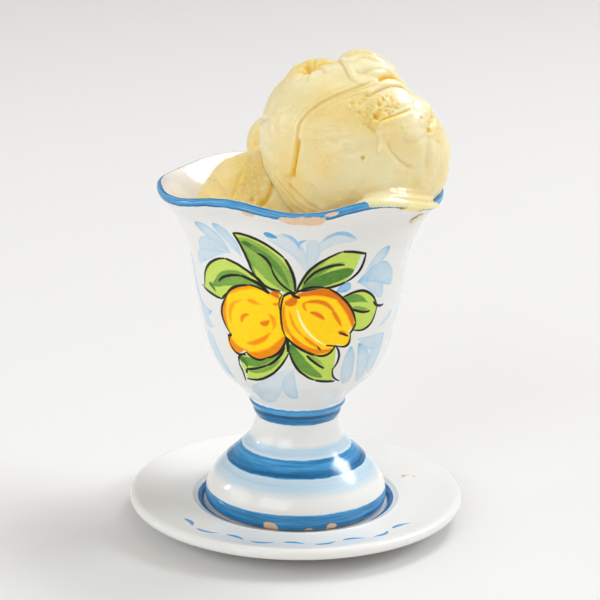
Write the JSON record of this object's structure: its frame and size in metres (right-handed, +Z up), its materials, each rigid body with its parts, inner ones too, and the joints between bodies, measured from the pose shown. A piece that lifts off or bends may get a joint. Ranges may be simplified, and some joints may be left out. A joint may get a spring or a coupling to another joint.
{
  "type": "ice cream cup",
  "caption": "Footed glazed cup with a wavy rim on its saucer, filled with scoops of pale lemon ice cream that stand above the rim.",
  "frame": {"origin": "on the table under the middle of the saucer", "axes": "+Z up, -Y towards the painted front of the cup, +X to the right seen from the front"},
  "size_m": [0.1236, 0.1236, 0.1775],
  "materials": {
    "saucer_glaze": "glossy white glaze with a blue ring",
    "cup_glaze": "glossy white glaze, hand-painted with lemons, leaves and blue bands",
    "ice_cream": "soft, smooth, slightly melted and shiny"
  },
  "bodies": {
    "root": {"saucer": "saucer_glaze", "cup": "cup_glaze", "scoop_front": "ice_cream", "scoop_left": "ice_cream", "scoop_back": "ice_cream"}
  },
  "joints": []
}
